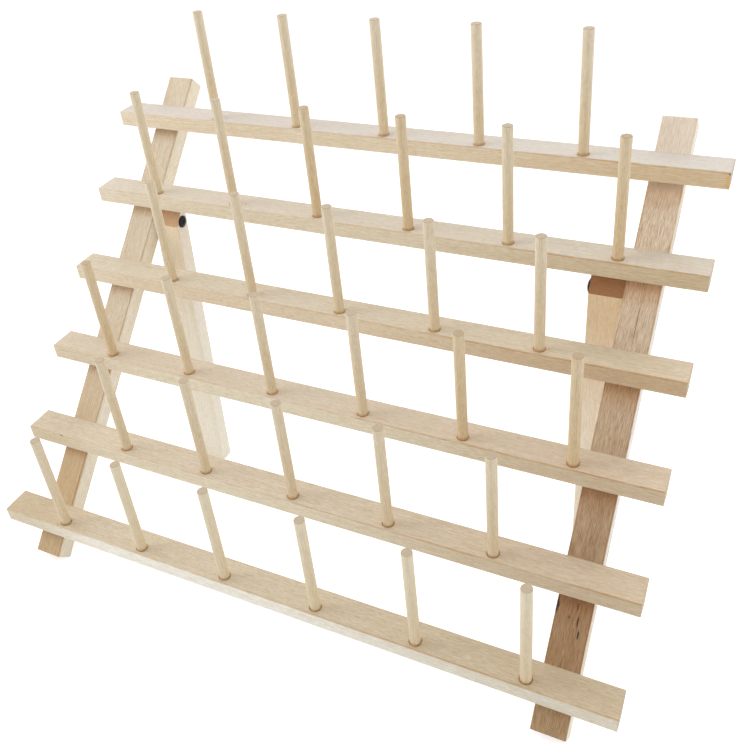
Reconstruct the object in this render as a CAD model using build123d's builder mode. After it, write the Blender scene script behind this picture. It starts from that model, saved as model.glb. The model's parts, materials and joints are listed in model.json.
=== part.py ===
"""Thread rack: six tilted slats of pegs across two rails, on two hinged legs that fold flat behind.

Millimetres, +Z up, +X along the slats, -Y the front. The origin lies on the table under the middle of
the rack's bounding box. The rails lean back, and most places are worked out in the rack's own frame:
x across it, u up the rails from the lowest slat's upper back edge, n out from the rails' front faces.
"""

import os
from math import atan2, cos, radians, sin, tan

from build123d import *

# Slats: strips with a wide face that the pegs stand on and a bevelled back that lies on the rails
slat_length = 500.0
slat_face = 22.5
slat_thickness = 12.25
slat_tilt = 45.0  # degrees between the wide face and the rails
slat_edge_ease = 0.7
slat_end_ease = 0.3
slat_rows = 6
row_pitch = 69.8

# Rails: the two uprights
rail_width = 23.7
rail_depth = 15.0
rail_foot = 42.2  # rail below the lowest slat's upper back edge
rail_head = 26.4  # rail above the highest slat's upper back edge
rail_inset = 28.9  # slat's end to the rail's outer side
post_ease = 1.0  # rounding of the rails' and the legs' edges

# Pegs: dowels driven into blind holes in the wide faces
peg_radius = 3.8
peg_exposed = 86.9
peg_tip_ease = 0.6
peg_setback = 6.8  # peg's axis to the slat's front edge
peg_rail_gap = 6.9  # outermost peg's axis to the rail's inner side
peg_shoulder = 0.2  # the driven end is this much thinner in radius
peg_fit = 0.05  # driven end to its hole
peg_floor = 2.0  # wood left under a peg
peg_mouth_width = 0.9  # width of the countersink round the hole
long_row_count = 6  # every other row has one fewer, half a pitch in

# Legs: hinged just inside the rails
leg_thickness = 23.7
leg_reach = 256.0  # pivot to foot
leg_open_angle = 42.0  # degrees between leg and rail when the rack stands
leg_side_gap = 0.5  # leg to rail
leg_fold_gap = 0.3  # folded leg to the slats' backs
leg_stop_gap = 0.3  # open leg's top corner to the stop slat's back
leg_mitre_drop = 2.4  # pivot down to the mitre's low corner
rows_below_stop_count = 4  # from the lowest slat up to the one that stops the open legs
pivot_drop = 28.4  # stop slat's upper back edge down to the pivot

# Pivot screws: black cross-head screws through the legs into the rails
pivot_shank_radius = 2.1
pivot_head_radius = 5.1
pivot_head_height = 2.0
pivot_head_rim = 0.6  # straight side of the head under its dome
pivot_running_fit = 0.08
pivot_head_gap = 0.15  # head to leg
pivot_floor = 6.0  # wood left in the rail beyond the screw's tip
pivot_tip_length = 3.5
pivot_recess_length = 4.8
pivot_recess_width = 1.0
pivot_recess_depth = 1.4

# Slat screws: countersunk, through the rails into the slats' backs
screw_shank_radius = 1.7
screw_head_radius = 3.5
screw_head_sink = 0.2
screw_fit = 0.05  # any screw to the hole it is driven in
screw_edge = 4.8  # screw's axis to the lower edge of the slat's back
screw_floor = 2.0  # wood left in the slat beyond the screw's tip
screw_tip_length = 3.0
screw_recess_length = 3.0
screw_recess_width = 0.8
screw_recess_depth = 1.2
countersink_angle = 90.0  # degrees, of screw heads, their seats and the peg holes' mouths

sides = {"left": -1, "right": 1}

# Slat section, from its upper back edge
tilt = radians(slat_tilt)
front_edge_u = -slat_face * cos(tilt)
front_edge_n = slat_face * sin(tilt)
nose_u = front_edge_u - slat_thickness * sin(tilt)
nose_n = front_edge_n - slat_thickness * cos(tilt)
slat_back = slat_thickness / sin(tilt)

# Pegs
peg_down_face = slat_face - peg_setback
peg_depth = min(slat_thickness, (peg_down_face - peg_radius) * tan(tilt)) - peg_floor
peg_hole_radius = peg_radius - peg_shoulder + peg_fit
peg_mouth_radius = peg_hole_radius + peg_mouth_width

# Rails and legs
rail_length = rail_foot + (slat_rows - 1) * row_pitch + rail_head
rail_outer = slat_length / 2 - rail_inset
rail_inner = rail_outer - rail_width
rail_middle = (rail_outer + rail_inner) / 2
leg_outer = rail_inner - leg_side_gap
leg_inner = leg_outer - leg_thickness
leg_width = rail_depth - 2 * leg_fold_gap
pivot_u = rows_below_stop_count * row_pitch - pivot_drop
pivot_n = -rail_depth / 2
opening = radians(leg_open_angle)
leg_mitre_rise = (leg_width / 2 * cos(opening) - leg_stop_gap - pivot_n) / sin(opening)
peg_pitch = 2 * (rail_inner - peg_rail_gap) / (long_row_count - 1)

# Screws
screw_drop = slat_back - screw_edge
screw_bite = (screw_drop - screw_shank_radius) * tan(tilt) - screw_floor
screw_end = rail_depth + screw_bite - screw_fit
pivot_bite = rail_width - pivot_floor
pivot_end = pivot_head_gap + leg_thickness + leg_side_gap + pivot_bite - screw_fit

# Lean: the rails' lower back corners and the feet's lower front corners are rounded alike, so the
# table is parallel to the line between the centres of the two roundings.
rail_contact_u = -rail_foot + post_ease
rail_contact_n = -rail_depth + post_ease
foot_down = leg_reach - post_ease
foot_forward = leg_width / 2 - post_ease
foot_contact_u = pivot_u - foot_down * cos(opening) - foot_forward * sin(opening)
foot_contact_n = pivot_n - foot_down * sin(opening) + foot_forward * cos(opening)
lean = atan2(foot_contact_u - rail_contact_u, rail_contact_n - foot_contact_n)

# Directions in the rack's frame
across = Vector(1, 0, 0)
up_rails = Vector(0, sin(lean), cos(lean))
outward = Vector(0, -cos(lean), sin(lean))
up_pegs = up_rails * sin(tilt) + outward * cos(tilt)
down_face = outward * sin(tilt) - up_rails * cos(tilt)
up_legs = up_rails * cos(opening) + outward * sin(opening)


def backward(u, n):
    """World Y of a place in the rack's frame, before the rack is stood on its origin."""
    return u * sin(lean) - n * cos(lean)


# The foremost point is on the lowest pegs' tips, the rearmost on the rails' upper back corners.
tip_u = -peg_down_face * cos(tilt) + (peg_exposed - peg_tip_ease) * sin(tilt)
tip_n = peg_down_face * sin(tilt) + (peg_exposed - peg_tip_ease) * cos(tilt)
tip_reach = (peg_radius - peg_tip_ease) * sin(lean + tilt) + peg_tip_ease
front_y = backward(tip_u, tip_n) - tip_reach
back_y = backward(rail_length - rail_foot - post_ease, rail_contact_n) + post_ease
stand_y = -(front_y + back_y) / 2
stand_z = post_ease - rail_contact_u * cos(lean) - rail_contact_n * sin(lean)
rack_origin = Vector(0, stand_y, stand_z)


def spot(x, u, n):
    """The point at x across the rack, u up its rails and n out from their front faces."""
    return rack_origin + across * x + up_rails * u + outward * n


def peg_columns(row):
    """The pegs' places across the rack in one row, numbered from 1 at the bottom."""
    count = long_row_count - (row - 1) % 2
    return [(column - (count - 1) / 2) * peg_pitch for column in range(count)]


def peg_plane(x, row):
    """The wide face's plane where a peg stands, facing up the peg."""
    foot = spot(x, (row - 1) * row_pitch, 0) + down_face * peg_down_face
    return Plane(foot, x_dir=across, z_dir=up_pegs)


def screw_u(row):
    """How far up the rails a slat's screws are."""
    return (row - 1) * row_pitch - screw_drop


def inner_plane(side, x):
    """A plane across the pivot's axis at x, facing the middle of the rack."""
    return Plane(spot(side * x, pivot_u, pivot_n), x_dir=up_rails, z_dir=across * -side)


def cross(plane, length, width):
    """The outline of a cross recess on a screw's head."""
    with BuildSketch(plane) as outline:
        Rectangle(length, width)
        Rectangle(width, length)
    return outline.sketch


def make_rail(side):
    middle = side * rail_middle
    with BuildPart() as rail:
        with BuildSketch(Plane(spot(middle, -rail_foot, -rail_depth / 2), x_dir=across, z_dir=up_rails)):
            Rectangle(rail_width, rail_depth)
        extrude(amount=rail_length)
        fillet(rail.edges(), post_ease)
        seat_radius = screw_head_radius + screw_head_sink + screw_fit
        for row in range(1, slat_rows + 1):
            with Locations(Plane(spot(middle, screw_u(row), -rail_depth), x_dir=across, z_dir=-outward)):
                CounterSinkHole(screw_shank_radius + screw_fit, seat_radius, rail_depth, countersink_angle)
        with Locations(inner_plane(side, rail_inner)):
            Hole(pivot_shank_radius + screw_fit, pivot_bite)
    return rail


def make_slat(row):
    top = (row - 1) * row_pitch
    with BuildPart() as slat:
        with BuildSketch(Plane(spot(-slat_length / 2, top, 0), x_dir=up_rails, z_dir=across)):
            with BuildLine():
                Polyline(
                    (0, 0),
                    (front_edge_u, front_edge_n),
                    (nose_u, nose_n),
                    (-slat_back, 0),
                    close=True,
                )
            make_face()
        extrude(amount=slat_length)
        front_edges = slat.edges().filter_by(Axis.X).sort_by(Axis(rack_origin, outward))[-2:]
        fillet(front_edges, slat_edge_ease)
        chamfer(slat.faces().filter_by(Axis.X).edges(), slat_end_ease)
        for x in peg_columns(row):
            with Locations(peg_plane(x, row)):
                CounterSinkHole(peg_hole_radius, peg_mouth_radius, peg_depth, countersink_angle)
        for side in sides.values():
            with Locations(Plane(spot(side * rail_middle, screw_u(row), 0), x_dir=across, z_dir=-outward)):
                Hole(screw_shank_radius + screw_fit, screw_bite)
    return slat


def make_peg(x, row):
    foot = peg_plane(x, row)
    with BuildPart() as peg:
        with BuildSketch(foot):
            Circle(peg_radius)
        extrude(amount=peg_exposed)
        with BuildSketch(foot):
            Circle(peg_radius - peg_shoulder)
        extrude(amount=-peg_depth)
        fillet(peg.edges().sort_by(Axis(foot.origin, foot.z_dir))[-1], peg_tip_ease)
    return peg


def make_leg(side):
    with BuildPart() as leg:
        edge = min(side * leg_inner, side * leg_outer)
        with BuildSketch(Plane(spot(edge, pivot_u, pivot_n), x_dir=up_legs, z_dir=across)):
            with BuildLine():
                Polyline(
                    (-leg_reach, -leg_width / 2),
                    (-leg_reach, leg_width / 2),
                    (-leg_mitre_drop, leg_width / 2),
                    (leg_mitre_rise, -leg_width / 2),
                    close=True,
                )
            make_face()
        extrude(amount=leg_thickness)
        mitre = leg.faces().sort_by(Axis(spot(0, pivot_u, pivot_n), up_legs))[-1]
        fillet(leg.edges() - mitre.edges(), post_ease)
        with Locations(inner_plane(side, leg_inner)):
            Hole(pivot_shank_radius + pivot_running_fit, leg_thickness)
    return leg


def make_pivot_screw(side):
    seat = spot(side * (leg_inner - pivot_head_gap), pivot_u, pivot_n)
    with BuildPart() as screw:
        with BuildSketch(Plane(seat, x_dir=up_rails, z_dir=outward * -side)):
            with BuildLine():
                TangentArc(
                    (0, -pivot_head_height),
                    (pivot_head_radius, -pivot_head_rim),
                    tangent=(1, 0),
                )
                Polyline(
                    (pivot_head_radius, -pivot_head_rim),
                    (pivot_head_radius, 0),
                    (pivot_shank_radius, 0),
                    (pivot_shank_radius, pivot_end - pivot_tip_length),
                    (0, pivot_end),
                    (0, -pivot_head_height),
                )
            make_face()
        revolve(axis=Axis(seat, across))
        crown = inner_plane(side, leg_inner - pivot_head_gap - pivot_head_height)
        recess = cross(crown, pivot_recess_length, pivot_recess_width)
        extrude(recess, amount=-pivot_recess_depth, mode=Mode.SUBTRACT)
    return screw


def make_slat_screws(side):
    cone_depth = screw_head_radius - screw_shank_radius
    with BuildPart() as screws:
        for row in range(1, slat_rows + 1):
            entry = spot(side * rail_middle, screw_u(row), -rail_depth)
            with BuildSketch(Plane(entry, x_dir=across, z_dir=-up_rails)):
                with BuildLine():
                    Polyline(
                        (0, screw_head_sink),
                        (screw_head_radius, screw_head_sink),
                        (screw_shank_radius, screw_head_sink + cone_depth),
                        (screw_shank_radius, screw_end - screw_tip_length),
                        (0, screw_end),
                        close=True,
                    )
                make_face()
            revolve(axis=Axis(entry, outward))
            head = Plane(entry + outward * screw_head_sink, x_dir=across, z_dir=-outward)
            recess = cross(head, screw_recess_length, screw_recess_width)
            extrude(recess, amount=-screw_recess_depth, mode=Mode.SUBTRACT)
    return screws


def save(piece, name):
    """Label a finished piece and write it to its own file."""
    piece.part.label = name
    export_step(piece.part, f"parts/{name}.step")


os.makedirs("parts", exist_ok=True)
for name, side in sides.items():
    save(make_rail(side), f"{name}_rail")
    save(make_leg(side), f"{name}_leg")
    save(make_pivot_screw(side), f"{name}_pivot_screw")
    save(make_slat_screws(side), f"{name}_slat_screws")
for row in range(1, slat_rows + 1):
    save(make_slat(row), f"slat_{row}")
    for column, x in enumerate(peg_columns(row), start=1):
        save(make_peg(x, row), f"peg_r{row}_c{column}")
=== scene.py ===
"""Thread rack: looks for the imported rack. Metres, +Z up, -Y the front."""

import json
import random
from math import cos, radians, sin

import bpy
from mathutils import Matrix, Vector

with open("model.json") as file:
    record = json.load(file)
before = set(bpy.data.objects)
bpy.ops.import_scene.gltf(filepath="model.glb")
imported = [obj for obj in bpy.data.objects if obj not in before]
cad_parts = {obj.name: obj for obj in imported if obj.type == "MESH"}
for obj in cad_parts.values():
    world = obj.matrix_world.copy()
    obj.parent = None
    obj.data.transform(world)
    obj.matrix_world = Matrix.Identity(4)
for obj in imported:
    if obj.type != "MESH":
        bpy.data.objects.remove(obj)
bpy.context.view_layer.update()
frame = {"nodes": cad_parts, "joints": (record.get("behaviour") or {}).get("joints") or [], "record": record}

NODES = frame["nodes"]
MOUNTS = {mount["name"]: mount for mount in frame["record"]["mounts"]}

# Camera
CAMERA_PLACE = Vector((0.2951, -0.5533, 0.4650))
CAMERA_AIM = Vector((0.0171, 0.0109, 0.2054))
CAMERA_ROLL = radians(0.477)
CAMERA_LENS = 43.94
CAMERA_SHIFT = (0.0186, -0.0602)
SENSOR_WIDTH = 36

# Directions of the grain and of the faces, from the record's mounts and joints
ACROSS = Vector((1, 0, 0))
UP_PEGS = Vector(MOUNTS["peg_r1_c1"]["axis"])
OUTWARD = -Vector(MOUNTS["left_rail_back"]["axis"])
UP_RAILS = OUTWARD.cross(ACROSS)
DOWN_FACE = ACROSS.cross(UP_PEGS)
LEG_OPENING = radians(frame["joints"][0]["range_deg"][1])
UP_LEGS = UP_RAILS * cos(LEG_OPENING) + OUTWARD * sin(LEG_OPENING)
LEG_FRONT = UP_LEGS.cross(ACROSS) * -1

# Each kind of piece's own axes: along its grain, out of its side and out of its face
SLAT_AXES = (ACROSS, DOWN_FACE, UP_PEGS)
RAIL_AXES = (UP_RAILS, ACROSS, OUTWARD)
LEG_AXES = (UP_LEGS, ACROSS, LEG_FRONT)
PEG_AXES = (UP_PEGS, ACROSS, DOWN_FACE)


def span(node, axis):
    """How far a node reaches along an axis: its least and greatest place, in metres."""
    places = [vertex.co.dot(axis) for vertex in NODES[node].data.vertices]
    return min(places), max(places)


def screen(red, green, blue):
    """A colour given as a screen shows it, in 0 to 255, as the linear colour that shaders take."""
    return solid(((value / 255 + 0.055) / 1.055) ** 2.4 for value in (red, green, blue))


def solid(colour):
    """A colour or tint of three parts, with the fourth part that shaders take."""
    return (*colour, 1)


class Tree:
    """Adds nodes to a node tree. An input that is a socket is linked, and any other is set."""

    def __init__(self, tree):
        self.tree = tree

    def add(self, kind, inputs=(), **settings):
        made = self.tree.nodes.new(kind)
        for name, value in settings.items():
            setattr(made, name, value)
        for socket, value in dict(inputs).items():
            if isinstance(value, bpy.types.NodeSocket):
                self.tree.links.new(value, made.inputs[socket])
            else:
                made.inputs[socket].default_value = value
        return made

    def math(self, operation, first, second=0.0, third=0.0):
        return self.add(
            "ShaderNodeMath", {0: first, 1: second, 2: third}, operation=operation
        ).outputs[0]

    def vector(self, operation, first, second):
        return self.add(
            "ShaderNodeVectorMath", {0: first, 1: second}, operation=operation
        ).outputs[0]

    def dot(self, first, second):
        return self.add(
            "ShaderNodeVectorMath", {0: first, 1: second}, operation="DOT_PRODUCT"
        ).outputs["Value"]

    def distance(self, first, second=(0.0, 0.0, 0.0)):
        return self.add(
            "ShaderNodeVectorMath", {0: first, 1: second}, operation="DISTANCE"
        ).outputs["Value"]

    def combine(self, x, y, z):
        return self.add("ShaderNodeCombineXYZ", {0: x, 1: y, 2: z}).outputs[0]

    def separate(self, place):
        return self.add("ShaderNodeSeparateXYZ", {0: place}).outputs

    def noise(self, place, scale, detail=2.0, roughness=0.5):
        """Noise at a place whose x, y and z are stretched by the three scales."""
        stretched = self.vector("MULTIPLY", place, scale)
        return self.add(
            "ShaderNodeTexNoise",
            {"Vector": stretched, "Scale": 1.0, "Detail": detail, "Roughness": roughness},
        ).outputs

    def line_noise(self, value, scale, detail):
        """Noise that changes with a single value."""
        return self.add(
            "ShaderNodeTexNoise",
            {"W": value, "Scale": scale, "Detail": detail},
            noise_dimensions="1D",
        ).outputs[0]

    def ramp(self, value, low, high, to_low=0.0, to_high=1.0):
        """Smooth step of a value from low to high."""
        return self.add(
            "ShaderNodeMapRange",
            {
                "Value": value,
                "From Min": low,
                "From Max": high,
                "To Min": to_low,
                "To Max": to_high,
            },
            interpolation_type="SMOOTHSTEP",
        ).outputs[0]

    def mix(self, factor, first, second, blend="MIX", clamp=False):
        return self.add(
            "ShaderNodeMix",
            {0: factor, 6: first, 7: second},
            data_type="RGBA",
            blend_type=blend,
            clamp_result=clamp,
        ).outputs[2]

    def tinted(self, colour, tint):
        return self.mix(1.0, colour, tint, "MULTIPLY")

    def tint_masked(self, colour, mask, tint):
        """Multiplies a colour by a tint where the mask is 1: used both for real stains and for painted light
        and shade.
        """
        return self.mix(mask, colour, self.tinted(colour, tint))


def empty_tree(owner):
    """Gives a material or a world an empty node tree."""
    owner.use_nodes = True
    owner.node_tree.nodes.clear()
    return Tree(owner.node_tree)


# Wood: what a piece can set, and what the group gives
WOOD_INPUTS = (
    ("Along", "Vector", (1, 0, 0)),
    ("Side", "Vector", (0, 1, 0)),
    ("Face", "Vector", (0, 0, 1)),
    ("Seed", "Vector", (0, 0, 0)),
    ("Light", "Color", (0.8, 0.7, 0.5, 1)),
    ("Dark", "Color", (0.6, 0.45, 0.3, 1)),
    ("Pith Side", "Float", 0.02),
    ("Pith Face", "Float", -0.05),
    ("Taper", "Float", 0.02),
    ("Warp", "Float", 0.004),
    ("Spacing", "Float", 0.0025),
    ("Rings", "Float", 0.07),
    ("Streaks", "Float", 0.16),
    ("Flecks", "Float", 0.27),
    ("Fibres", "Float", 0.4),
    ("Bands", "Float", 0.03),
    ("Blotches", "Float", 0.22),
    ("Side Tint", "Color", (1, 1, 1, 1)),
    ("End Tint", "Color", (0.9, 0.84, 0.78, 1)),
    ("Far Tint", "Color", (1, 1, 1, 1)),
    ("Side Far Tint", "Color", (1, 1, 1, 1)),
    ("Near", "Float", 0.0),
    ("Far", "Float", 1.0),
)
WOOD_OUTPUTS = (
    ("Color", "Color"),
    ("Roughness", "Float"),
    ("Height", "Float"),
    ("Place", "Vector"),
    ("Facing", "Float"),
)

# Noise in the wood: repeats per metre along the grain, to its side and through its face, then
# detail and roughness
BEND = (3.0, 16.0, 16.0), 1.0
WOBBLE = (14.0, 60.0, 60.0), 2.0
STREAK = (9.0, 950.0, 950.0), 3.0, 0.55
FLECK = (280.0, 1250.0, 1250.0), 2.0, 0.6
FIBRE = (110.0, 3200.0, 3200.0), 1.0
BAND = (1.6, 60.0, 60.0), 2.0
PORE = (150.0, 3000.0, 3000.0), 1.0
BLOTCH = (8.0, 30.0, 30.0), 2.0
END_DOT = (300.0, 2300.0, 2300.0), 1.0
EDGE_NOISE = (45.0, 300.0, 300.0), 3.0, 0.6
MARK_NOISE = (260.0, 900.0, 900.0), 2.0

# Values between which each part of the wood goes from none to full: of its noise, and of how far
# a surface faces to the side or along the grain
STREAK_RANGE = (0.34, 0.68)
FLECK_RANGE = (0.36, 0.66)
FIBRE_RANGE = (0.35, 0.65)
BAND_RANGE = (0.3, 0.7)
PORE_RANGE = (0.62, 0.74)
BLOTCH_RANGE = (0.4, 0.75)
END_DOT_RANGE = (0.52, 0.66)
EDGE_RANGE = (0.34, 0.6)
SIDE_RANGE = (0.5, 0.85)
END_RANGE = (0.35, 0.6)

# Growth rings, in parts of a ring but for the wobble, which is in metres
WOBBLE_REACH = (0.0, 0.0011, 0.0011)
RING_DRIFT_SCALE = 0.35
RING_DRIFT = 2.4
RING_TONE_SCALE = 0.9
RING_TONE_RANGE = (0.3, 0.7, 0.35, 1.0)
LATE_START = 0.25
LATE_PEAK = 0.93
LATE_MEAN = 0.3
PART_MEAN = 0.5

# How the parts of the wood show in its tone, its gloss and its surface
MEAN_SHADE = 0.5
PORE_SHADE = 0.12
END_SHADE = 0.3
BLOTCH_TINT = (0.98, 0.92, 0.89, 1.0)
ROUGHNESS = 0.5
SHADE_ROUGHNESS = 0.14
END_ROUGHNESS = 0.12
FIBRE_HEIGHT = 0.5
LATE_HEIGHT = -0.18
END_HEIGHT = 0.6
WOOD_BUMP = {"Strength": 0.35, "Distance": 0.0003}
WOOD_SPECULAR = 0.35
WOOD_SHEEN = 0.2

NOISE_MEAN = (0.5, 0.5, 0.5)
ALONG_GRAIN = (1.0, 0.0, 0.0)
ACROSS_GRAIN = (0.0, 1.0, 1.0)


def add_sockets(group):
    for name, kind, default in WOOD_INPUTS:
        group.interface.new_socket(
            name, in_out="INPUT", socket_type=f"NodeSocket{kind}"
        ).default_value = default
    for name, kind in WOOD_OUTPUTS:
        group.interface.new_socket(name, in_out="OUTPUT", socket_type=f"NodeSocket{kind}")


def late_wood(t, given, along, place, seeded):
    """1 in the late wood of growth rings that taper along a far-off pith, warped and uneven."""
    bend = t.vector("SUBTRACT", t.noise(seeded, *BEND)["Color"], NOISE_MEAN)
    bend = t.vector("MULTIPLY", bend, t.combine(0.0, given["Warp"], given["Warp"]))
    wobble = t.vector("SUBTRACT", t.noise(seeded, *WOBBLE)["Color"], NOISE_MEAN)
    wobble = t.vector("MULTIPLY", wobble, WOBBLE_REACH)
    warped = t.vector("ADD", t.vector("ADD", place, bend), wobble)
    pith = t.combine(0.0, given["Pith Side"], given["Pith Face"])
    from_pith = t.vector("MULTIPLY", t.vector("SUBTRACT", warped, pith), ACROSS_GRAIN)
    radius = t.math("MULTIPLY_ADD", along, given["Taper"], t.distance(from_pith))
    turns = t.math("DIVIDE", radius, given["Spacing"])
    drift = t.line_noise(turns, RING_DRIFT_SCALE, 1.0)
    turns = t.math("MULTIPLY_ADD", drift, RING_DRIFT, turns)
    part = t.math("FRACT", turns)
    late = t.math("MULTIPLY", t.ramp(part, LATE_START, LATE_PEAK), t.ramp(part, 1.0, LATE_PEAK))
    tone = t.line_noise(turns, RING_TONE_SCALE, 0.0)
    return t.math("MULTIPLY", late, t.ramp(tone, *RING_TONE_RANGE))


def make_wood_group():
    """Solid wood in a piece's own axes: rings, fibres, pores, blotches and end grain."""
    group = bpy.data.node_groups.new("wood", "ShaderNodeTree")
    add_sockets(group)
    t = Tree(group)
    given = t.add("NodeGroupInput").outputs
    coords = t.add("ShaderNodeTexCoord").outputs
    along, side, face = (
        t.dot(coords["Object"], given[axis]) for axis in ("Along", "Side", "Face")
    )
    place = t.combine(along, side, face)
    seeded = t.vector("ADD", place, given["Seed"])
    late = late_wood(t, given, along, place, seeded)
    streak, fleck, fibre, band, pore, blotch, dots = (
        t.noise(seeded, *noise)[0]
        for noise in (STREAK, FLECK, FIBRE, BAND, PORE, BLOTCH, END_DOT)
    )
    pore = t.ramp(pore, *PORE_RANGE)
    dots = t.ramp(dots, *END_DOT_RANGE)
    facing = t.ramp(t.math("ABSOLUTE", t.dot(coords["Normal"], given["Side"])), *SIDE_RANGE)
    end = t.ramp(t.math("ABSOLUTE", t.dot(coords["Normal"], given["Along"])), *END_RANGE)

    shade = MEAN_SHADE
    for part, middle, amount in (
        (late, LATE_MEAN, "Rings"),
        (t.ramp(streak, *STREAK_RANGE), PART_MEAN, "Streaks"),
        (t.ramp(fleck, *FLECK_RANGE), PART_MEAN, "Flecks"),
        (t.ramp(fibre, *FIBRE_RANGE), PART_MEAN, "Fibres"),
        (t.ramp(band, *BAND_RANGE), PART_MEAN, "Bands"),
    ):
        shade = t.math("MULTIPLY_ADD", t.math("SUBTRACT", part, middle), given[amount], shade)
    shade = t.math("MULTIPLY_ADD", pore, PORE_SHADE, shade)
    shade = t.math("ADD", shade, t.math("MULTIPLY", end, t.math("MULTIPLY", dots, END_SHADE)))

    colour = t.mix(shade, given["Light"], given["Dark"])
    # Side, end and far tints: on some pieces the wood's own tone, on others painted light or painted shade,
    # as each piece's looks say
    colour = t.tint_masked(colour, facing, given["Side Tint"])
    colour = t.tint_masked(colour, end, given["End Tint"])
    away = t.ramp(along, given["Near"], given["Far"])
    colour = t.tint_masked(colour, away, given["Far Tint"])
    colour = t.tint_masked(colour, t.math("MULTIPLY", away, facing), given["Side Far Tint"])
    blotched = t.math("MULTIPLY", t.ramp(blotch, *BLOTCH_RANGE), given["Blotches"])
    colour = t.mix(blotched, colour, t.tinted(colour, BLOTCH_TINT), clamp=True)

    roughness = t.math("MULTIPLY_ADD", shade, SHADE_ROUGHNESS, ROUGHNESS)
    roughness = t.math("MULTIPLY_ADD", end, END_ROUGHNESS, roughness)
    height = t.math("MULTIPLY", t.math("SUBTRACT", fibre, pore), FIBRE_HEIGHT)
    height = t.math("MULTIPLY_ADD", late, LATE_HEIGHT, height)
    end_height = t.math("MULTIPLY", end, t.math("MULTIPLY", dots, END_HEIGHT))
    height = t.math("SUBTRACT", height, end_height)
    t.add("NodeGroupOutput", zip(range(5), (colour, roughness, height, place, facing)))
    return group


WOOD = make_wood_group()


def wood(
    name, axes, colours, seed, edges=(), row=None, slat_shade=None, fades=(), marks=(), **grain
):
    """A wood material for one piece, with the stains of its edges and marks, a tint on its holes' mouths,
    and painted light and shade on some faces.
    """
    material = bpy.data.materials.new(name)
    t = empty_tree(material)
    draw = random.Random(seed)
    light, dark = (screen(*colour) for colour in colours)
    inputs = dict(zip(("Along", "Side", "Face"), axes))
    inputs.update({"Light": light, "Dark": dark})
    inputs["Seed"] = [draw.uniform(-9, 9) for _ in range(3)]
    inputs.update(grain)
    made = t.add("ShaderNodeGroup", node_tree=WOOD)
    for socket, value in inputs.items():
        made.inputs[socket].default_value = value
    colour, roughness, height, place, facing = made.outputs
    for tint, *line in edges:
        colour = t.tint_masked(colour, edge_mask(t, place, *line), solid(tint))
    # The holes' mouths: a warm tint over their own shade in the low rows, and a painted light that lightens
    # it in the high rows
    if row:
        tint = LOW_MOUTH if row <= LAST_LOW_ROW else HIGH_MOUTH_PAINTED_LIGHT
        colour = t.tint_masked(colour, mouth_mask(t, place, row), solid(tint))
    # Painted shade on a rail's front just under each slat
    if slat_shade:
        front, reach, tint = slat_shade
        colour = t.tint_masked(colour, under_slat_shade_mask(t, place, front, reach), solid(tint))
    average = [(pale + deep) / 2 for pale, deep in zip(light, dark)]
    for start, full, calm, tint, side_tint in fades:
        away = t.ramp(t.dot(place, ALONG_GRAIN), start, full)
        colour = t.mix(t.math("MULTIPLY", away, calm), colour, average)
        colour = t.tint_masked(colour, away, solid(tint))
        colour = t.tint_masked(colour, t.math("MULTIPLY", away, facing), solid(side_tint))
    for centre, size, tint in marks:
        mask = mark_mask(t, place, centre, size)
        colour = t.tint_masked(colour, mask, solid(tint))
        height = t.math("SUBTRACT", height, mask)
    bump = t.add("ShaderNodeBump", {"Height": height, **WOOD_BUMP})
    shader = t.add(
        "ShaderNodeBsdfPrincipled",
        {"Base Color": colour, "Roughness": roughness, "Normal": bump.outputs[0]},
    )
    shader.inputs["Specular IOR Level"].default_value = WOOD_SPECULAR
    shader.inputs["Sheen Weight"].default_value = WOOD_SHEEN
    t.add("ShaderNodeOutputMaterial", {"Surface": shader.outputs[0]})
    return material


# Tints of the stains along edges, and of the mouths of the peg holes in the low and high rows: warm in the
# low rows, and in the high rows a painted light that lightens the holes' own shade
EDGE_STAIN = (0.82, 0.62, 0.44)
FAINT_STAIN = (0.80, 0.68, 0.56)
LOW_MOUTH = (1.05, 0.88, 0.70)
HIGH_MOUTH_PAINTED_LIGHT = (1.30, 1.15, 0.95)
LAST_LOW_ROW = 2
# Where the mouths' tint and the painted shade under the slats start and are full, in metres: out from a peg,
# and in from a rail's front
MOUTH_START = 0.0013
MOUTH_FULL = 0.0005
FRONT_START = 0.001
FRONT_FULL = 0.0003
# The shade under the slats: its soft end in metres, and the parts of a row's pitch above a slat's
# lower edge where the slat hides that one row's shade gives way to the next one's
SOFT_END = 0.001
ROW_TURN = 0.3
ROW_TURN_START = 0.28
# The least part of an edge's stain, and the part of a mark's size that it fills
EDGE_LEAST = 0.35
MARK_FULL = 0.55


def mouth_mask(t, place, row):
    """1 in the mouths of a row's peg holes, which are one pitch apart."""
    pegs = [mount for name, mount in MOUNTS.items() if name.startswith(f"peg_r{row}_")]
    first, last = Vector(pegs[0]["pos_m"]), Vector(pegs[-1]["pos_m"])
    pitch = (last - first).length / (len(pegs) - 1)
    parts = t.separate(place)
    near = t.math("SUBTRACT", parts["X"], first.dot(ACROSS))
    column = t.math("ROUND", t.math("DIVIDE", near, pitch))
    column = t.math("MINIMUM", t.math("MAXIMUM", column, 0.0), len(pegs) - 1.0)
    near = t.math("MULTIPLY_ADD", column, -pitch, near)
    aside = t.math("SUBTRACT", parts["Y"], first.dot(DOWN_FACE))
    gap = t.distance(t.combine(near, aside, 0.0))
    reach = pegs[0]["dims"]["r_mm"] / 1000
    return t.ramp(gap, reach + MOUTH_START, reach + MOUTH_FULL)


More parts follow.
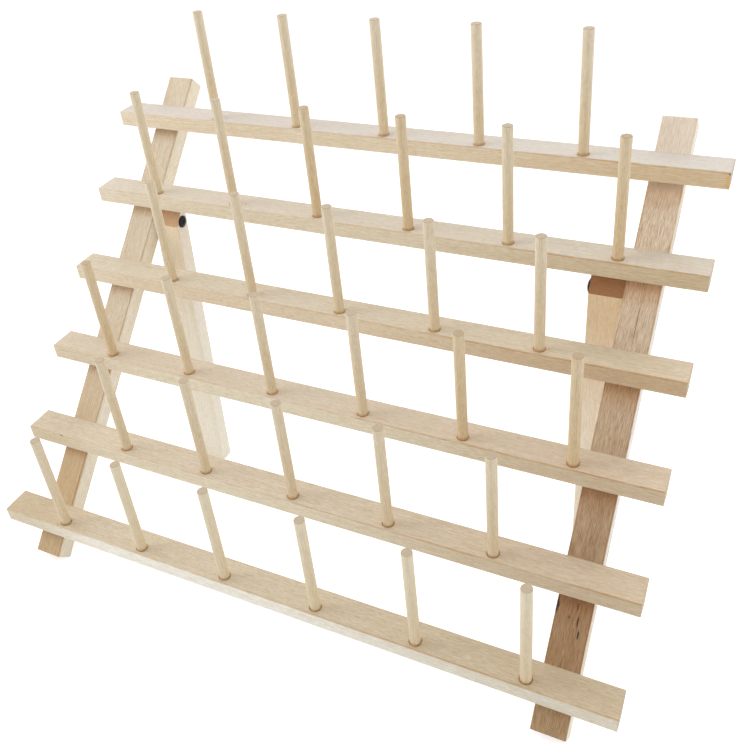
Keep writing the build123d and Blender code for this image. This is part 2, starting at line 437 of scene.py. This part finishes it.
def under_slat_shade_mask(t, place, front, reach):
    """1 on a rail's front under each slat but the lowest, fading downwards: where the shade under the slats
    is painted.
    """
    first, second = (span(f"slat_{row}", UP_RAILS)[0] for row in (1, 2))
    pitch = second - first
    parts = t.separate(place)
    above = t.math("SUBTRACT", parts["X"], first)
    near = t.math("WRAP", above, ROW_TURN * pitch, (ROW_TURN - 1) * pitch)
    hidden = t.ramp(near, ROW_TURN * pitch, ROW_TURN_START * pitch)
    shade = t.math("MULTIPLY", t.ramp(near, -reach, SOFT_END), hidden)
    shade = t.math("MULTIPLY", shade, t.ramp(above, 0.0, SOFT_END))
    return t.math("MULTIPLY", shade, t.ramp(parts["Z"], front - FRONT_START, front - FRONT_FULL))


def edge_mask(t, place, side, face, width, strength, fade=None):
    """1 near an edge along the grain, uneven, and growing between the two places of a fade."""
    gap = t.distance(t.vector("MULTIPLY", place, ACROSS_GRAIN), (0.0, side, face))
    uneven = t.noise(place, *EDGE_NOISE)[0]
    uneven = t.ramp(uneven, *EDGE_RANGE, EDGE_LEAST * strength, strength)
    if fade:
        along = t.dot(place, ALONG_GRAIN)
        uneven = t.math("MULTIPLY", uneven, t.ramp(along, *fade, EDGE_LEAST, 1.0))
    return t.math("MULTIPLY", t.ramp(gap, width, width / 2), uneven)


def mark_mask(t, place, centre, size):
    """1 inside an ellipsoid, with a ragged edge."""
    ragged = t.vector("SUBTRACT", t.noise(place, *MARK_NOISE)["Color"], NOISE_MEAN)
    ragged = t.vector("MULTIPLY", ragged, size)
    apart = t.vector("ADD", t.vector("SUBTRACT", place, centre), ragged)
    return t.ramp(t.distance(t.vector("DIVIDE", apart, size)), 1.0, MARK_FULL)


def dress(node, material):
    NODES[node].data.materials.clear()
    NODES[node].data.materials.append(material)


# Slats by row: light and dark wood as a screen shows it, then tints of the nose, which is painted light
# and partly paler wood, of the right end, partly stain and partly painted shade, and of the nose at the
# right end, a painted shade
SLAT_LOOKS = {
    1: (
        ((229, 219, 198), (195, 172, 137)),
        ((1.40, 1.58, 1.90), (0.90, 0.86, 0.80), (0.90, 0.90, 0.89)),
    ),
    2: (
        ((230, 219, 200), (195, 174, 141)),
        ((1.22, 1.28, 1.30), (0.94, 0.88, 0.82), (0.80, 0.76, 0.72)),
    ),
    3: (
        ((229, 218, 201), (196, 173, 141)),
        ((1.24, 1.33, 1.34), (0.99, 0.95, 0.89), (0.77, 0.70, 0.65)),
    ),
    4: (
        ((226, 218, 199), (193, 171, 139)),
        ((1.20, 1.17, 1.13), (1.01, 0.97, 0.90), (0.75, 0.67, 0.60)),
    ),
    5: (
        ((227, 219, 205), (195, 178, 152)),
        ((1.19, 1.18, 1.10), (1.00, 1.00, 1.00), (0.81, 0.73, 0.62)),
    ),
    6: (
        ((216, 210, 202), (189, 173, 154)),
        ((1.34, 1.28, 1.09), (1.06, 1.08, 1.09), (0.83, 0.74, 0.63)),
    ),
}
# Fades: where along the grain each starts and is full, how far it calms the grain, its tint and the
# further tint of the sides
SLAT_FADES = {
    1: ((-0.145, -0.240, 0.0, (0.85, 0.80, 0.71), (0.87, 0.83, 0.75)),),
    2: ((-0.170, -0.232, 0.0, (0.91, 0.90, 0.88), (0.90, 0.85, 0.76)),),
    3: ((-0.140, -0.230, 0.0, (0.95, 0.96, 0.95), (0.90, 0.83, 0.76)),),
}
# Marks: centre and half size in the piece's own axes, and tint
SLAT_MARKS = {
    2: (((-0.2154, 0.046, 0.1109), (0.0017, 0.0009, 0.0009), (0.60, 0.40, 0.28)),),
    4: (
        ((-0.0703, -0.0642, 0.21), (0.0007, 0.0006, 0.0006), (0.60, 0.45, 0.32)),
        ((0.2446, -0.0561, 0.21), (0.0012, 0.0007, 0.0007), (1.20, 1.22, 1.25)),
        ((0.2478, -0.0563, 0.21), (0.0009, 0.0006, 0.0006), (1.20, 1.22, 1.25)),
    ),
    5: (((-0.1046, -0.1104, 0.2593), (0.0009, 0.0006, 0.0006), (0.62, 0.45, 0.32)),),
    6: (
        ((0.2493, -0.1514, 0.3075), (0.0008, 0.0008, 0.0008), (0.30, 0.22, 0.18)),
        ((0.2505, -0.151, 0.302), (0.0042, 0.004, 0.009), (1.0, 0.84, 0.60)),
    ),
}
# Stains along a slat's edges: width, strength, and where the front one starts to grow and is full
FRONT_EDGE = (0.0012, 0.9, (-0.15, 0.22))
BACK_EDGE = (0.0008, 0.3)
RIGHT_END_START = -0.03
SLAT_GRAIN_SEED = 100
SLAT_NOISE_SEED = 200


def dress_slats():
    for row, (colours, (nose_tone_and_painted_light, end_tone_and_shade, nose_end_painted_shade)) in SLAT_LOOKS.items():
        node = f"slat_{row}"
        draw = random.Random(SLAT_GRAIN_SEED + row)
        back, nose = span(node, DOWN_FACE)
        under, top = span(node, UP_PEGS)
        grain = {
            "Pith Side": (back + nose) / 2 + draw.uniform(-0.03, 0.03),
            "Pith Face": under - draw.uniform(0.04, 0.08),
            "Taper": draw.choice((-1, 1)) * draw.uniform(0.006, 0.016),
            "Warp": 0.010,
            "Spacing": draw.uniform(0.0016, 0.0024),
            # Painted light on the noses, partly their paler wood; painted shade on the noses towards the
            # right end; the right end's tint is partly stain and partly painted shade
            "Side Tint": solid(nose_tone_and_painted_light),
            "Side Far Tint": solid(nose_end_painted_shade),
            "Far Tint": solid(end_tone_and_shade),
            "Near": RIGHT_END_START,
            "Far": span(node, ACROSS)[1],
        }
        material = wood(
            f"{node}_wood",
            SLAT_AXES,
            colours,
            SLAT_NOISE_SEED + row,
            edges=((EDGE_STAIN, nose, top, *FRONT_EDGE), (FAINT_STAIN, back, top, *BACK_EDGE)),
            row=row,
            fades=SLAT_FADES.get(row, ()),
            marks=SLAT_MARKS.get(row, ()),
            **grain,
        )
        dress(node, material)


# Rails: the painted shade under the slats is given by how far down it reaches and by its tint, the side
# tint paints light on their sides, and the grain is given by its contrasts
RAIL_CONTRASTS = ("Streaks", "Flecks", "Fibres", "Bands", "Blotches")
RAIL_LOOKS = {
    "left": {
        "colours": ((227, 220, 199), (196, 165, 128)),
        "side_tint": (1.25, 1.35, 1.48),
        "foot_tint": (0.86, 0.73, 0.56),
        "foot_start": 0.17,
        "foot_full": 0.00,
        "slat_shade": (0.011, (0.95, 0.83, 0.72)),
        "contrasts": (0.15, 0.25, 0.3, 0.1, 0.08),
        "fades": (),
        "marks": (((0.0100, -0.1988, 0.0954), (0.0700, 0.0005, 0.0010), (0.74, 0.58, 0.43)),),
    },
    "right": {
        "colours": ((241, 223, 197), (195, 163, 131)),
        "side_tint": (1.02, 1.13, 1.20),
        "foot_tint": (0.52, 0.393, 0.267),
        "foot_start": 0.30,
        "foot_full": -0.01,
        "slat_shade": (0.021, (0.84, 0.66, 0.50)),
        "contrasts": (0.2, 0.3, 0.8, 0.3, 0.25),
        "fades": (
            (0.302, 0.3245, 0.55, (1.17, 1.27, 1.41), (1, 1, 1)),
            (-0.015, -0.042, 0.0, (1.15, 1.26, 1.33), (1, 1, 1)),
        ),
        "marks": (
            ((0.2212, 0.2096, 0.0954), (0.0185, 0.0004, 0.0010), (0.50, 0.40, 0.32)),
            ((0.0226, 0.2129, 0.0954), (0.0045, 0.0006, 0.0012), (0.15, 0.10, 0.08)),
            ((0.0150, 0.2147, 0.0954), (0.0038, 0.0007, 0.0012), (0.10, 0.07, 0.06)),
            ((0.0325, 0.2110, 0.0954), (0.0032, 0.0010, 0.0010), (0.70, 0.52, 0.38)),
            ((0.0244, 0.2071, 0.0954), (0.0015, 0.0012, 0.0010), (0.66, 0.46, 0.34)),
            ((0.0240, 0.2112, 0.0954), (0.0085, 0.0004, 0.0010), (1.25, 1.22, 1.18)),
            ((0.0300, 0.1983, 0.0952), (0.0058, 0.0014, 0.0030), (0.12, 0.09, 0.08)),
        ),
    },
}
LEFT_EDGE = (0.0018, 0.7)
RIGHT_EDGE = (0.0018, 0.8)


def dress_rails():
    for name, look in RAIL_LOOKS.items():
        node = f"{name}_rail"
        left, right = span(node, ACROSS)
        back, front = span(node, OUTWARD)
        grain = {
            "Pith Side": (left + right) / 2 + 0.02,
            "Pith Face": back - 0.05,
            "Taper": 0.012,
            "Warp": 0.010,
            "Spacing": 0.0018,
            # Painted light: the sides lighter than the front
            "Side Tint": solid(look["side_tint"]),
            "Far Tint": solid(look["foot_tint"]),
            "Side Far Tint": solid(1 / value for value in look["foot_tint"]),
            "Near": look["foot_start"],
            "Far": look["foot_full"],
            **dict(zip(RAIL_CONTRASTS, look["contrasts"])),
        }
        material = wood(
            f"{node}_wood",
            RAIL_AXES,
            look["colours"],
            name,
            edges=(
                (FAINT_STAIN, left, front, *LEFT_EDGE),
                (FAINT_STAIN, right, front, *RIGHT_EDGE),
            ),
            slat_shade=(front, *look["slat_shade"]),
            fades=look["fades"],
            marks=look["marks"],
            **grain,
        )
        dress(node, material)


# Legs: the side that the pith is on, light and dark wood, tints of the end grain, its own darker tone
# with painted shade from the slat, and of the upper half, a painted shade near the slats, and the grain's
# contrasts
LEG_CONTRASTS = ("Flecks", "Fibres", "Bands")
LEG_LOOKS = {
    "left": (
        -1,
        ((248, 245, 235), (223, 209, 181)),
        ((0.70, 0.51, 0.36), (1.03, 0.93, 0.80)),
        (0.3, 0.3, 0.06),
    ),
    "right": (
        1,
        ((252, 247, 233), (244, 221, 188)),
        ((0.46, 0.26, 0.15), (0.84, 0.71, 0.54)),
        (0.5, 0.65, 0.3),
    ),
}


def dress_legs():
    for name, (side, colours, (end_tone_and_shade, head_painted_shade), contrasts) in LEG_LOOKS.items():
        node = f"{name}_leg"
        foot, head = span(node, UP_LEGS)
        grain = {
            "Pith Side": sum(span(node, ACROSS)) / 2 + side * 0.03,
            "Pith Face": span(node, LEG_FRONT)[0] - 0.04,
            "Taper": 0.02,
            "Warp": 0.012,
            "Spacing": 0.0022,
            "Side Tint": (0.95, 0.95, 0.96, 1),
            # End grain: its own darker tone, with painted shade from the slat over the mitre
            "End Tint": solid(end_tone_and_shade),
            # Painted shade on the upper half, near the slats
            "Far Tint": solid(head_painted_shade),
            # The sides of the upper half get a less yellow painted shade
            "Side Far Tint": (0.98, 1.03, 1.16, 1),
            "Near": (foot + head) / 2,
            "Far": head,
            **dict(zip(LEG_CONTRASTS, contrasts)),
        }
        dress(node, wood(f"{node}_wood", LEG_AXES, colours, f"leg {name}", **grain))


# Pegs: light and dark wood, and the ones that each row draws from
CREAM = (237, 226, 204), (209, 189, 153)
GOLDEN = (232, 216, 186), (202, 176, 134)
PALE = (238, 229, 205), (215, 198, 166)
PEG_LOOKS = {
    1: (PALE, CREAM),
    2: (CREAM,),
    3: (CREAM, GOLDEN),
    4: (CREAM,),
    5: (CREAM, GOLDEN),
    6: (CREAM,),
}
# The rim of glue where a peg leaves its hole
GLUE_RISE = -0.0008
GLUE_SIZE = (0.0026, 0.05, 0.05)
GLUE_TINT = (0.88, 0.74, 0.58)


def dress_pegs():
    for node in sorted(name for name in NODES if name.startswith("peg_")):
        draw = random.Random(node)
        tip = span(node, UP_PEGS)[1]
        middle = sum(span(node, ACROSS)) / 2, sum(span(node, DOWN_FACE)) / 2
        row = int(node.split("_")[1][1:])
        foot = tip - (MOUNTS[node]["dims"]["length_mm"] / 1000)
        colours = draw.choice(PEG_LOOKS[row])
        grain = {
            "Pith Side": middle[0] + draw.uniform(-0.03, 0.03),
            "Pith Face": middle[1] + draw.choice((-1, 1)) * draw.uniform(0.01, 0.03),
            "Taper": draw.uniform(-0.03, 0.03),
            "Warp": 0.003,
            "Spacing": draw.uniform(0.0014, 0.0022),
            "End Tint": (0.72, 0.67, 0.66, 1),
            # Painted shade: darker and yellower towards the foot
            "Far Tint": (0.96, 0.90, 0.80, 1),
            "Blotches": 0.1,
            "Near": tip,
            "Far": foot,
        }
        glue = ((foot + GLUE_RISE, *middle), GLUE_SIZE, GLUE_TINT)
        material = wood(
            f"{node}_wood", PEG_AXES, colours, f"wood {node}", marks=(glue,), **grain
        )
        dress(node, material)


# Screws: noise that breaks up their gloss, and noise that wears their colour
FINE_METAL = (1800.0, 1800.0, 1800.0), 3.0
BROAD_METAL = (260.0, 260.0, 260.0), 2.0
WEAR_RANGE = (0.35, 0.7)
WORN_GAIN = 1.5
WORN_LIFT = 0.01
METAL_BUMP_DEPTH = 0.00005


def metal(name, colour, metallic, roughness, spread, bump, specular):
    """A screw's finish, its gloss and surface broken up by fine noise."""
    material = bpy.data.materials.new(name)
    t = empty_tree(material)
    place = t.add("ShaderNodeTexCoord").outputs["Object"]
    fine = t.noise(place, *FINE_METAL)[0]
    broad = t.noise(place, *BROAD_METAL)[0]
    worn = (min(1.0, value * WORN_GAIN + WORN_LIFT) for value in colour)
    shade = t.mix(t.ramp(broad, *WEAR_RANGE), solid(colour), solid(worn))
    rough = t.math("MULTIPLY_ADD", fine, spread, roughness)
    ripple = t.add(
        "ShaderNodeBump", {"Strength": bump, "Distance": METAL_BUMP_DEPTH, "Height": fine}
    )
    shader = t.add(
        "ShaderNodeBsdfPrincipled",
        {"Base Color": shade, "Roughness": rough, "Normal": ripple.outputs[0]},
    )
    shader.inputs["Metallic"].default_value = metallic
    shader.inputs["Specular IOR Level"].default_value = specular
    t.add("ShaderNodeOutputMaterial", {"Surface": shader.outputs[0]})
    return material


def dress_screws():
    black = metal(
        "black_satin",
        (0.006, 0.006, 0.008),
        metallic=0.0,
        roughness=0.18,
        spread=0.18,
        bump=0.3,
        specular=0.15,
    )
    zinc = metal(
        "zinc",
        (0.60, 0.61, 0.62),
        metallic=1.0,
        roughness=0.24,
        spread=0.3,
        bump=0.2,
        specular=0.4,
    )
    for side in ("left", "right"):
        dress(f"{side}_pivot_screw", black)
        dress(f"{side}_slat_screws", zinc)


# Floor: its reach from the middle, its tone in the room's light, and its tone and glow as seen
FLOOR_REACH = 15.0
FLOOR_TONE = (0.92, 0.92, 0.92, 1)
SEEN_TONE = (0.62, 0.62, 0.62, 1)
SEEN_GLOW = 0.72


def make_floor():
    """A pale floor that the camera sees as white, apart from the rack's shadow."""
    mesh = bpy.data.meshes.new("floor")
    low, high = -FLOOR_REACH, FLOOR_REACH
    corners = [(low, low, 0), (high, low, 0), (high, high, 0), (low, high, 0)]
    mesh.from_pydata(corners, [], [(0, 1, 2, 3)])
    floor = bpy.data.objects.new("floor", mesh)
    bpy.context.scene.collection.objects.link(floor)
    material = bpy.data.materials.new("floor_white")
    t = empty_tree(material)
    seen = seen_directly(t)
    paint = t.add("ShaderNodeBsdfDiffuse", {"Color": t.mix(seen, FLOOR_TONE, SEEN_TONE)})
    glow = t.add("ShaderNodeEmission", {"Strength": t.math("MULTIPLY", seen, SEEN_GLOW)})
    both = t.add("ShaderNodeAddShader", {0: paint.outputs[0], 1: glow.outputs[0]})
    t.add("ShaderNodeOutputMaterial", {"Surface": both.outputs[0]})
    mesh.materials.append(material)


def seen_directly(t):
    """1 for rays from the camera, and for those seen in metal or glass."""
    path = t.add("ShaderNodeLightPath").outputs
    seen = t.math("MAXIMUM", path["Is Camera Ray"], path["Is Glossy Ray"])
    return t.math("MAXIMUM", seen, path["Is Transmission Ray"])


# Light: a white room and five soft boxes, each with its place, size and power
FILL = 0.636
BOXES = {
    "left": ((-1.2, -0.5, 0.8), 0.8, 6.0),
    "side": ((1.3, 0.35, 0.6), 1.2, 4.3),
    "back": ((0.1, 1.7, 0.9), 2.4, 1.5),
    "high": ((0.1, 1.0, 1.8), 1.6, 12.7),
    "top": ((-0.5, -0.2, 1.1), 0.8, 1.6),
}
BOX_AIM = Vector((0, 0, 0.2))


def make_light():
    world = bpy.data.worlds.new("studio")
    bpy.context.scene.world = world
    t = empty_tree(world)
    strength = t.math("MAXIMUM", seen_directly(t), FILL)
    sky = t.add("ShaderNodeBackground", {"Color": (1, 1, 1, 1), "Strength": strength})
    t.add("ShaderNodeOutputWorld", {"Surface": sky.outputs[0]})
    for name, (place, size, power) in BOXES.items():
        lamp = bpy.data.lights.new(name, "AREA")
        lamp.energy = power
        lamp.size = size
        box = bpy.data.objects.new(name, lamp)
        box.location = place
        box.rotation_euler = (BOX_AIM - Vector(place)).to_track_quat("-Z", "Y").to_euler()
        bpy.context.scene.collection.objects.link(box)


def make_camera():
    lens = bpy.data.cameras.new("camera")
    lens.sensor_width = SENSOR_WIDTH
    lens.lens = CAMERA_LENS
    lens.shift_x, lens.shift_y = CAMERA_SHIFT
    camera = bpy.data.objects.new("camera", lens)
    aim = (CAMERA_AIM - CAMERA_PLACE).to_track_quat("-Z", "Y").to_matrix()
    turn = aim @ Matrix.Rotation(CAMERA_ROLL, 3, "Z")
    camera.matrix_world = Matrix.Translation(CAMERA_PLACE) @ turn.to_4x4()
    bpy.context.scene.collection.objects.link(camera)
    bpy.context.scene.camera = camera


make_camera()
dress_slats()
dress_rails()
dress_legs()
dress_pegs()
dress_screws()
make_floor()
make_light()
bpy.context.scene.view_settings.view_transform = "Standard"
